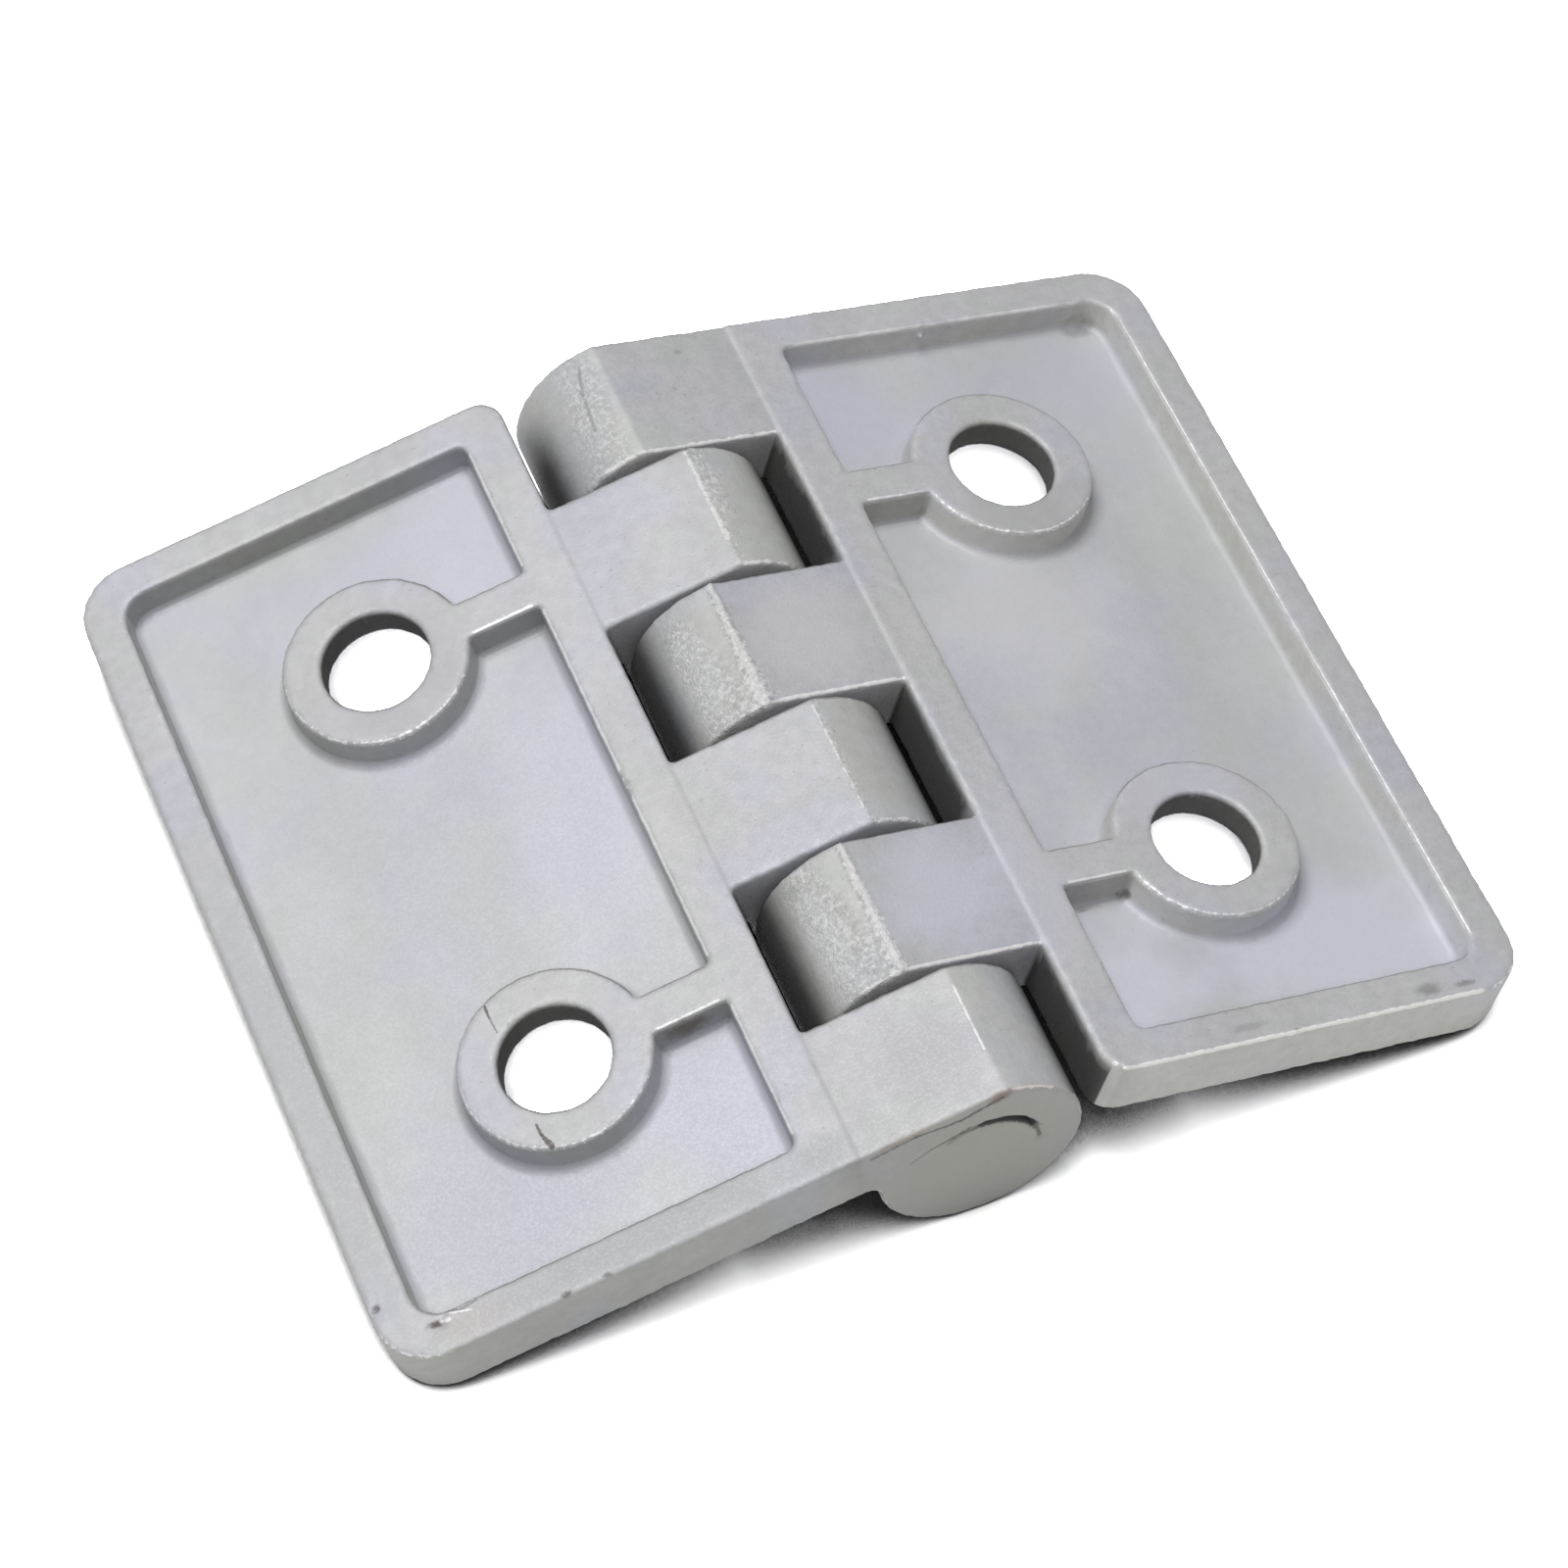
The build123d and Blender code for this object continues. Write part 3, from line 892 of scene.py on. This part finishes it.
@dataclass
class LeafCasting:
    """One leaf with its three knuckles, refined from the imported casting.

    It is worked on in bench millimetres: u out along the leaf from the pin axis, y along the
    pin and w towards the back of the leaf.
    """

    name: str
    node: bpy.types.Object
    body: str
    placement: Matrix
    finish: CastZinc
    burrs: tuple[Burr, ...] = ()
    dents: tuple[Dent, ...] = ()
    bands: tuple[Band, ...] = ()
    dull_ends: tuple[float, ...] = ()
    plug: Plug | None = None
    lit_end: float = 0.0
    far_wall_shade: float = 0.3
    # Weights, by place, of the rubbed corners with painted highlight.
    hole_wear_and_highlight: float = 0.35
    step_wear_and_highlight: float = 0.4
    far_wear_and_highlight: float = 0.15
    near_wear_and_highlight: float = 0.15
    # Towards the camera: corners facing it get painted highlight, corners facing away painted shade.
    open_side: Point = (0.41, 0.91, 0.0)
    cell: float = 0.17
    softening: int = 3
    waviness: float = 0.07
    raggedness: float = 0.15
    face_limit: int = 190_000

    def build(self) -> bpy.types.Object:
        """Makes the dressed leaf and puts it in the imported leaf's place.

        Returns:
            The finished piece.
        """
        piece = self.bench_copy()
        self.cut_dents(piece)
        self.raise_burrs(piece)
        self.close_bore(piece)
        apply_modifier(piece, "REMESH", mode="VOXEL", voxel_size=self.cell, use_smooth_shade=True)
        apply_modifier(piece, "SMOOTH", factor=0.5, iterations=self.softening)
        self.mark_corners(piece)
        self.roughen(piece)
        self.thin(piece)
        piece.data.transform(self.placement)
        piece.data.materials.append(self.finish.build())
        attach(piece, self.body)
        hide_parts(self.node.name)
        return piece

    def bench_copy(self) -> bpy.types.Object:
        """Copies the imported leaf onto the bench.

        Returns:
            A closed copy in bench millimetres.
        """
        piece = bpy.data.objects.new(self.name, self.node.data.copy())
        bpy.context.scene.collection.objects.link(piece)
        piece.data.materials.clear()
        select_only(piece)
        bpy.ops.object.mode_set(mode="EDIT")
        bpy.ops.mesh.select_all(action="SELECT")
        bpy.ops.mesh.remove_doubles(threshold=1e-6)
        bpy.ops.object.mode_set(mode="OBJECT")
        piece.data.transform(self.placement.inverted())
        return piece

    def cut_dents(self, piece: bpy.types.Object) -> None:
        """Cuts the small hollows.

        Args:
            piece: The leaf on the bench.
        """
        cutters = []
        for dent in self.dents:
            bpy.ops.mesh.primitive_ico_sphere_add(subdivisions=2, radius=1.0, location=dent.centre)
            bpy.context.object.scale = dent.reach
            bpy.ops.object.transform_apply(location=True, rotation=True, scale=True)
            cutters.append(bpy.context.object)
        for cutter in cutters:
            apply_modifier(piece, "BOOLEAN", operation="DIFFERENCE", solver="EXACT", object=cutter)
            bpy.data.objects.remove(cutter)

    def raise_burrs(self, piece: bpy.types.Object) -> None:
        """Adds the raised lines of metal, which the remesh then fuses with the leaf.

        Args:
            piece: The leaf on the bench.
        """
        rods = []
        for burr in self.burrs:
            start, end = Vector(burr.start), Vector(burr.end)
            run = end - start
            turn = run.to_track_quat("Z", "Y").to_euler()
            bpy.ops.mesh.primitive_cylinder_add(
                vertices=10, radius=burr.radius, depth=run.length, location=(start + end) / 2, rotation=turn
            )
            bpy.ops.object.transform_apply(location=True, rotation=True, scale=True)
            rods.append(bpy.context.object)
        if rods:
            join(rods, piece)

    def close_bore(self, piece: bpy.types.Object) -> None:
        """Closes the bore's end with the plug, which the remesh then fuses with the leaf.

        Args:
            piece: The leaf on the bench.
        """
        if self.plug is None:
            return
        aside, up = self.plug.shift
        bpy.ops.mesh.primitive_cylinder_add(
            vertices=64,
            radius=self.plug.radius,
            depth=self.plug.outer - self.plug.inner,
            location=(aside, (self.plug.outer + self.plug.inner) / 2, up),
            rotation=(math.pi / 2, 0.0, 0.0),
        )
        bpy.ops.object.transform_apply(location=True, rotation=True, scale=True)
        join([bpy.context.object], piece)

    def mark_corners(self, piece: bpy.types.Object) -> None:
        """Measures how sharply the surface bends, and keeps masks of outer and inner corners.

        Args:
            piece: The leaf on the bench.
        """
        mesh = piece.data
        points = points_of(piece)
        edges = np.empty(len(mesh.edges) * 2, np.int32)
        mesh.edges.foreach_get("vertices", edges)
        edges = edges.reshape(-1, 2)
        normals = np.empty(len(mesh.vertices) * 3, np.float32)
        mesh.vertices.foreach_get("normal", normals)
        normals = normals.reshape(-1, 3)
        pull = ((neighbour_mean(edges, points) - points) * normals).sum(1)
        bend = pull * 4.0 / self.cell**2
        hollow = smooth_step(bend, 0.5, 2.2)
        corner = smooth_step(-bend, 0.5, 1.6)
        hollow, corner = (np.maximum(mask, neighbour_mean(edges, mask)) for mask in (hollow, corner))
        ridge = self.ridge_mask(edges, -bend)
        facing = -normals @ (math.cos(self.finish.side.value) * np.array(self.open_side))
        self.keep_mask(mesh, "hollow", hollow)
        self.keep_mask(mesh, "corner", corner)
        # Rubbed corners with painted highlight, on the ridges that face the camera.
        self.keep_mask(mesh, "worn", ridge * smooth_step(facing, -0.25, 0.3) * self.rubbed_and_highlit_mask(points, normals))
        # Painted shade on the corners that face away from the camera.
        self.keep_mask(mesh, "painted_far_edge_shade", corner * smooth_step(-facing, 0.1, 0.5))
        # Painted shade in holes, slots, grooves, on walls and end faces, and in the bore's open crescent.
        self.keep_mask(mesh, "painted_shade", self.painted_shade_mask(points, normals))
        self.keep_mask(mesh, "coarse", self.coarse_mask(points))
        self.keep_mask(mesh, "wall", smooth_step(-np.abs(normals[:, 2]), -0.75, -0.4) * (np.abs(points[:, 0]) > 8.3))

    def ridge_mask(self, edges: np.ndarray, bend: np.ndarray) -> np.ndarray:
        """Marks the thin line along the top of each outer corner.

        Args:
            edges: Two point numbers for each edge of the mesh.
            bend: How sharply the surface bends at each point, above 0 on outer corners.

        Returns:
            A mask, 1 on the line.
        """
        for _ in range(2):
            bend = (bend + neighbour_mean(edges, bend)) / 2
        peak = bend.copy()
        for _ in range(3):
            near = peak.copy()
            np.maximum.at(near, edges[:, 0], peak[edges[:, 1]])
            np.maximum.at(near, edges[:, 1], peak[edges[:, 0]])
            peak = near
        return smooth_step(bend / np.maximum(peak, 0.1), 0.86, 0.97) * smooth_step(bend, 0.3, 0.8)

    def keep_mask(self, mesh: bpy.types.Mesh, name: str, mask: np.ndarray) -> None:
        """Stores a mask on the mesh's points.

        Args:
            mesh: The mesh that keeps it.
            name: The name that the material reads it by.
            mask: One number from 0 to 1 for each point.
        """
        attribute = mesh.attributes.new(name, "FLOAT", "POINT")
        attribute.data.foreach_set("value", mask.astype(np.float32))

    def painted_shade_mask(self, points: np.ndarray, normals: np.ndarray) -> np.ndarray:
        """Marks the painted shade: hole walls, pocket walls, slots, the barrel's grooves, its end faces and the
        bore's open crescent are painted dark where shade falls.

        Args:
            points: The leaf's points in bench millimetres.
            normals: The leaf's normals at those points.

        Returns:
            A mask, 1 where the metal stays dark.
        """
        u, y, w = points.T
        hole = np.hypot(u - 25.4, np.abs(y) - 19.2)
        bored = smooth_step(-hole, -4.7, -4.5) * smooth_step(-w, -7.4, -7.0)
        angle = np.degrees(np.arctan2(-u, w))
        groove = smooth_step(angle, 60.0, 86.0) * smooth_step(-angle, -118.0, -100.0)
        groove *= (np.hypot(u, w) > 4.8) * (np.abs(y) < 37.2)
        if self.lit_end > 0.0:
            groove *= smooth_step(37.5 - y, 0.2 * self.lit_end, self.lit_end)
        slot = (np.abs(u - 8.4) < 0.5) * smooth_step(-normals[:, 0], 0.3, 0.8) * smooth_step(-w, -7.4, -6.4)
        viewer = math.cos(self.finish.side.value)
        slot *= 1.0 - 0.5 * smooth_step(((-37.5 - viewer * y) % 25.6) / 12.5, 0.75, 0.2)
        within = (np.abs(u - 27.0) < 15.4) & (np.abs(y) < 34.6) & (w > 4.9) & (w < 7.5)
        rim_wall = (viewer * y > 33.0) * self.far_wall_shade
        rib_wall = (u < 20.0) & (np.abs(np.abs(y) - 19.2) < 2.2)
        steep = smooth_step(-viewer * normals[:, 1], 0.2, 0.6) * within * np.maximum(rim_wall, 0.08 + 0.25 * rib_wall)
        # Painted shade on the barrel's end faces.
        ends = smooth_step(np.abs(y), 37.2, 37.35) * smooth_step(-u, -12.0, -8.0) * 0.22
        # Painted shade in the open crescent of the bore beside the plug.
        crescent = np.zeros(len(points))
        if self.plug is not None:
            off_plug = np.hypot(u - self.plug.shift[0], w - self.plug.shift[1]) > self.plug.radius - 0.1
            crescent = off_plug * (np.hypot(u, w) < 4.65) * (y > 35.0) * 0.8
        return np.maximum.reduce([bored * 0.85, groove, slot, steep, ends, crescent])

    def rubbed_and_highlit_mask(self, points: np.ndarray, normals: np.ndarray) -> np.ndarray:
        """Weighs how much each corner is rubbed bright and painted with highlight.

        Args:
            points: The leaf's points in bench millimetres.
            normals: The leaf's normals at those points.

        Returns:
            A mask, 1 where corners are rubbed bright and painted with highlight.
        """
        u, y, w = points.T
        viewer = math.cos(self.finish.side.value)
        hole = np.hypot(u - 25.4, np.abs(y) - 19.2)
        rubbed = np.full(len(points), 0.95)
        rubbed[hole < 5.4] = self.hole_wear_and_highlight
        rubbed[(np.abs(u - 8.5) < 0.8) & (w > 6.6)] = self.step_wear_and_highlight
        rubbed[(np.abs(u + 3.2) < 0.8) & (w > 6.9) & (np.abs(normals[:, 1]) < 0.35)] = 0.0
        rubbed[(viewer * y > 33.4) & (hole > 8.0) & (np.abs(u - 27.0) < 14.5)] = self.far_wear_and_highlight
        rubbed[(viewer * y < -36.6) & (u > 8.9) & (u < 40.5)] = self.near_wear_and_highlight
        rubbed[(u > 44.2) & (np.abs(y) < 33.5)] = self.near_wear_and_highlight
        for end in self.dull_ends:
            rubbed[(u > -3.6) & (u < 8.3) & (w > 6.6) & (np.abs(y - end) < 0.6)] = 0.1
        return rubbed

    def coarse_mask(self, points: np.ndarray) -> np.ndarray:
        """Marks the bands of coarse bright grain on the knuckles.

        Args:
            points: The leaf's points in bench millimetres.

        Returns:
            A mask, 1 inside the bands.
        """
        mask = np.zeros(len(points))
        for band in self.bands:
            start, run = np.array(band.start), np.subtract(band.end, band.start)
            share = np.clip((points - start) @ run / (run @ run), 0.0, 1.0)
            gap = np.linalg.norm(points - start - share[:, None] * run, axis=1)
            inside = smooth_step(-gap / (band.width + band.widening * share), -1.0, -0.35)
            mask = np.maximum(mask, inside * band.strength)
        return mask

    def roughen(self, piece: bpy.types.Object) -> None:
        """Makes the flat faces slightly wavy and the outer corners ragged.

        Args:
            piece: The leaf on the bench.
        """
        waves = bpy.data.textures.new(self.name + "_waves", "CLOUDS")
        waves.noise_scale = 6.0
        apply_modifier(
            piece, "DISPLACE", texture=waves, texture_coords="LOCAL", strength=self.waviness, mid_level=1.0
        )
        mask = np.empty(len(piece.data.vertices), np.float32)
        piece.data.attributes["corner"].data.foreach_get("value", mask)
        group = piece.vertex_groups.new(name="corners")
        levels = 8
        steps = np.rint(mask * levels).astype(int)
        for level in range(1, levels + 1):
            group.add(np.flatnonzero(steps == level).tolist(), level / levels, "REPLACE")
        chips = bpy.data.textures.new(self.name + "_chips", "CLOUDS")
        chips.noise_scale = 0.8
        apply_modifier(
            piece,
            "DISPLACE",
            texture=chips,
            texture_coords="LOCAL",
            vertex_group=group.name,
            strength=self.raggedness,
            mid_level=0.6,
        )
        piece.vertex_groups.clear()
        kept = np.clip(points_of(piece), (-9.0, -37.5, -9.0), (45.2, 37.5, 7.6))
        piece.data.vertices.foreach_set("co", kept.astype(np.float32).ravel())

    def thin(self, piece: bpy.types.Object) -> None:
        """Brings the mesh under its limit of faces, fewest where it is flat.

        Args:
            piece: The leaf on the bench.
        """
        triangles = sum(len(face.vertices) - 2 for face in piece.data.polygons)
        apply_modifier(piece, "DECIMATE", ratio=min(1.0, self.face_limit / triangles))


@dataclass
class HingePin:
    """The plain pin through all six knuckles, with its cropped ends."""

    name: str
    node: bpy.types.Object
    body: str
    finish: PinSteel
    radius: float = 4.5
    far_reach: float = 37.3
    near_reach: float = 36.4
    chamfer: float = 0.35
    end_radius: float = 4.3
    height: float = 8.1

    def build(self) -> bpy.types.Object:
        """Makes the pin from a round bar with a chamfer and a faint dish at each end.

        Returns:
            The finished piece.
        """
        low, high = self.chamfer - self.near_reach, self.far_reach - self.chamfer
        bpy.ops.object.select_all(action="DESELECT")
        bpy.ops.mesh.primitive_cylinder_add(
            vertices=96,
            radius=self.radius,
            depth=high - low,
            location=(0.0, (low + high) / 2, self.height),
            rotation=(math.pi / 2, 0.0, 0.0),
        )
        piece = bpy.context.object
        piece.name = self.name
        bpy.ops.object.transform_apply(location=True, rotation=True, scale=True)
        for way in (-1.0, 1.0):
            self.draw_end(piece, way)
        piece.data.transform(Matrix.Scale(MILLIMETRE, 4))
        select_only(piece)
        bpy.ops.object.shade_smooth_by_angle(angle=math.radians(35))
        piece.data.materials.append(self.finish.build())
        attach(piece, self.body)
        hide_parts(self.node.name)
        return piece

    def draw_end(self, piece: bpy.types.Object, way: float) -> None:
        """Extrudes one end to its smaller face and gives the face a faint dish.

        Args:
            piece: The pin.
            way: -1 for the near end and 1 for the far end.
        """
        share = self.end_radius / self.radius
        bpy.ops.object.mode_set(mode="EDIT")
        bpy.ops.mesh.select_mode(type="FACE")
        bpy.ops.mesh.select_all(action="DESELECT")
        bpy.ops.object.mode_set(mode="OBJECT")
        for polygon in piece.data.polygons:
            polygon.select = polygon.normal.y * way > 0.9
        bpy.ops.object.mode_set(mode="EDIT")
        bpy.ops.mesh.extrude_region_move(TRANSFORM_OT_translate={"value": (0.0, way * self.chamfer, 0.0)})
        bpy.ops.transform.resize(value=(share, 1.0, share))
        for width, rise in ((0.3, 0.0), (1.5, -0.04), (1.2, -0.03)):
            bpy.ops.mesh.inset(thickness=width)
            bpy.ops.transform.translate(value=(0.0, way * rise, 0.0))
        bpy.ops.object.mode_set(mode="OBJECT")


# The studio


@dataclass
class Studio:
    """Camera, floor and soft lights."""

    focal_length: float = 120.683
    turn: Point = (-0.5849, 0.1405, 0.3724)
    shift: Point = (0.0101, -2.7235, -409.3162)
    floor_size: float = 6.0
    lamps: list[tuple[str, Point, float, float]] = field(
        default_factory=lambda: [
            ("key", (-0.14, 0.14, 0.88), 0.42, 5.6),
            ("front", (-0.208, -0.456, 0.747), 0.15, 1.2),
        ]
    )

    def build(self) -> None:
        """Sets up the whole studio."""
        self.set_camera()
        self.lay_floor()
        self.hang_lamps()
        self.light_room()
        bpy.context.scene.view_settings.view_transform = "Standard"

    def set_camera(self) -> None:
        """Places the camera at the photograph's angle."""
        camera = bpy.data.objects.new("camera", bpy.data.cameras.new("camera"))
        bpy.context.scene.collection.objects.link(camera)
        camera.data.lens = self.focal_length
        camera.data.sensor_width = 36.0
        camera.data.clip_start = 0.01
        camera.data.clip_end = 20.0
        turn = Vector(self.turn)
        view = Matrix.Rotation(turn.length, 4, turn.normalized())
        view.translation = Vector(self.shift) * MILLIMETRE
        camera.matrix_world = view.inverted()
        bpy.context.scene.camera = camera

    def lay_floor(self) -> None:
        """Lays a pale floor that the camera sees as white, with a painted shadow that darkens it near the object and
        painted light under the screw holes.
        """
        bpy.ops.object.select_all(action="DESELECT")
        bpy.ops.mesh.primitive_plane_add(size=self.floor_size, location=(0.0, 0.0, -0.02 * MILLIMETRE))
        floor = bpy.context.object
        floor.name = "floor"
        bpy.ops.object.transform_apply(location=True, rotation=True, scale=True)
        material = bpy.data.materials.new("floor")
        material.use_nodes = True
        material.node_tree.nodes.clear()
        bench = NodeBench(material.node_tree)
        ray = bench.add("ShaderNodeLightPath")
        colour = bench.blend(ray.outputs["Is Glossy Ray"], (0.82, 0.82, 0.82, 1.0), (1.0, 1.0, 1.0, 1.0))
        coordinates = bench.add("ShaderNodeTexCoord")
        axes = bench.add("ShaderNodeSeparateXYZ", Vector=coordinates.outputs["Object"])
        # Painted light: the floor under the screw holes is made brighter for the camera, so the holes show white.
        out = bench.math("SUBTRACT", bench.math("ABSOLUTE", axes.outputs["X"]), 0.026)
        along = bench.ramp(bench.math("ABSOLUTE", out), 0.014, 0.011)
        across = bench.ramp(bench.math("ABSOLUTE", axes.outputs["Y"]), 0.034, 0.029)
        # Painted shadow: the floor darkens for the camera where the object is near, by ambient occlusion.
        nearness = bench.add("ShaderNodeAmbientOcclusion", {"samples": 16}, Distance=0.012)
        contact = bench.ramp(nearness.outputs["AO"], 0.38, 0.6, 0.06, 3.0)
        seen = bench.math("MULTIPLY_ADD", bench.math("MULTIPLY", along, across), 6.0, contact)
        colour = bench.blend(ray.outputs["Is Camera Ray"], colour, seen)
        shader = bench.add("ShaderNodeBsdfDiffuse", Color=colour)
        output = bench.add("ShaderNodeOutputMaterial")
        bench.feed(output.inputs["Surface"], shader.outputs["BSDF"])
        floor.data.materials.append(material)

    def hang_lamps(self) -> None:
        """Hangs the soft square lamps, all turned to the object."""
        for name, place, size, power in self.lamps:
            lamp = bpy.data.objects.new(name, bpy.data.lights.new(name, "AREA"))
            bpy.context.scene.collection.objects.link(lamp)
            lamp.data.size = size
            lamp.data.energy = power
            lamp.location = place
            lamp.rotation_euler = (-Vector(place)).to_track_quat("-Z", "Y").to_euler()

    def light_room(self) -> None:
        """Lights the room evenly, and shows it white behind the object."""
        world = bpy.data.worlds.new("room")
        bpy.context.scene.world = world
        world.use_nodes = True
        world.node_tree.nodes.clear()
        bench = NodeBench(world.node_tree)
        ray = bench.add("ShaderNodeLightPath")
        level = bench.math("MULTIPLY_ADD", ray.outputs["Is Camera Ray"], 0.75, 0.25)
        light = bench.add("ShaderNodeBackground", Color=(1.0, 1.0, 1.0, 1.0), Strength=level)
        output = bench.add("ShaderNodeOutputWorld")
        bench.feed(output.inputs["Surface"], light.outputs["Background"])


def main() -> None:
    """Builds the studio and every piece, and reports each one."""
    logging.basicConfig(level=logging.INFO, format="%(message)s")
    record = frame["record"]
    pin_height = frame["joints"][0]["pos_m"][2]
    tilt = next(mount["axis"] for mount in record["mounts"] if mount["name"] == "right_screw_holes")
    sag = math.atan2(tilt[0], tilt[2])
    Studio().build()
    for make_group in (grain_group, ragged_edge_group, grime_group, spot_group, line_group):
        make_group()
    upright = Matrix.Translation((0.0, 0.0, pin_height)) @ Matrix.Rotation(sag, 4, "Y") @ Matrix.Scale(MILLIMETRE, 4)
    places = {side: Matrix.Rotation(side.value, 4, "Z") @ upright for side in Side}
    left = LeafCasting(
        name="left_leaf_casting",
        node=frame["nodes"]["left_leaf"],
        body="left_side",
        placement=places[Side.LEFT],
        finish=CastZinc(
            name="cast_zinc_left",
            side=Side.LEFT,
            sag=sag,
            pin_height=pin_height,
            flat_tone=(0.525, 0.525, 0.54),
            # Walls darker on this leaf: their own olive tone, darkened as painted shade for how the light falls on
            # them.
            wall_tone=(0.47, 0.475, 0.465),
            stains=LEFT_STAINS,
            lines=LEFT_LINES,
        ),
        dents=(
            Dent((40.55, 35.0, 7.65), (0.55, 0.4, 0.3)),
            Dent((44.6, 31.8, 7.5), (0.3, 0.3, 0.3)),
            Dent((12.0, 0.35, 7.6), (0.35, 0.3, 0.25)),
        ),
        burrs=(Burr((40.1, 34.9, 7.55), (37.6, 34.3, 7.5), 0.16),),
        bands=LEFT_BANDS,
        dull_ends=(37.5, 12.55, -13.05),
        plug=Plug((0.74, -0.82)),
    )
    right = LeafCasting(
        name="right_leaf_casting",
        node=frame["nodes"]["right_leaf"],
        body="right_side",
        placement=places[Side.RIGHT],
        finish=CastZinc(
            name="cast_zinc_right",
            side=Side.RIGHT,
            sag=sag,
            pin_height=pin_height,
            flat_tone=(0.50, 0.50, 0.52),
            floor_tone=(0.55, 0.553, 0.575),
            # Walls lighter on this leaf: their own olive tone, lightened as painted light for how the light falls on
            # them.
            wall_tone=(0.62, 0.62, 0.60),
            stains=RIGHT_STAINS,
            lines=RIGHT_LINES,
        ),
        dents=(Dent((27.4, -37.6, 2.1), (0.7, 0.35, 0.4)),),
        burrs=(
            Burr((9.5, -37.35, 7.5), (41.0, -37.35, 7.5), 0.16),
            Burr((23.6, -37.4, 7.55), (24.3, -37.4, 7.55), 0.3),
            Burr((24.7, 33.9, 6.6), (25.1, 33.9, 6.6), 0.25),
            Burr((-3.25, 0.4, 7.42), (-3.25, 12.4, 7.42), 0.18),
            Burr((-3.25, -25.2, 7.42), (-3.25, -13.2, 7.42), 0.18),
        ),
        bands=RIGHT_BANDS,
        lit_end=7.0,
        far_wall_shade=0.12,
        hole_wear_and_highlight=0.6,
        step_wear_and_highlight=0.6,
        far_wear_and_highlight=0.8,
        near_wear_and_highlight=1.3,
    )
    pin = HingePin(
        name="pin_bar", node=frame["nodes"]["hinge_pin"], body="left_side", finish=PinSteel("pin_steel_bar")
    )
    for maker in (left, right, pin):
        piece = maker.build()
        log.info("%s: %d faces on %s", piece.name, len(piece.data.polygons), maker.body)


if __name__ == "__main__":
    main()
